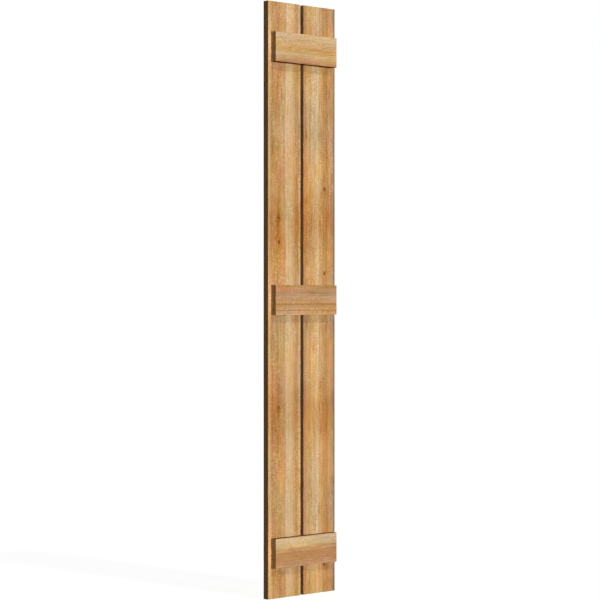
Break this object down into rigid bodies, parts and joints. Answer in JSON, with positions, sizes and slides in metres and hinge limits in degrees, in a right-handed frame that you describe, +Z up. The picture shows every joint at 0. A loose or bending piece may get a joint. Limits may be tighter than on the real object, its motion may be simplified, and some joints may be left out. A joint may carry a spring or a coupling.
{
  "type": "board and batten shutter",
  "caption": "Tall exterior window shutter of upright rough-sawn cedar boards set a gap apart and held together by flat cross battens on the front.",
  "frame": {"origin": "on the wall side of the left board, at the middle of its width and height", "axes": "+Z up along the boards, +X to the right as seen from the front, +Y towards the wall"},
  "size_m": [0.292, 0.0412, 1.8288],
  "materials": {
    "board_cedar": "rough-sawn, unfinished",
    "batten_cedar": "rough-sawn, unfinished",
    "screw_steel": "plain stainless, driven from the back"
  },
  "bodies": {
    "root": {"left_board": "board_cedar", "right_board": "board_cedar", "bottom_batten": "batten_cedar", "middle_batten": "batten_cedar", "top_batten": "batten_cedar"}
  },
  "joints": []
}
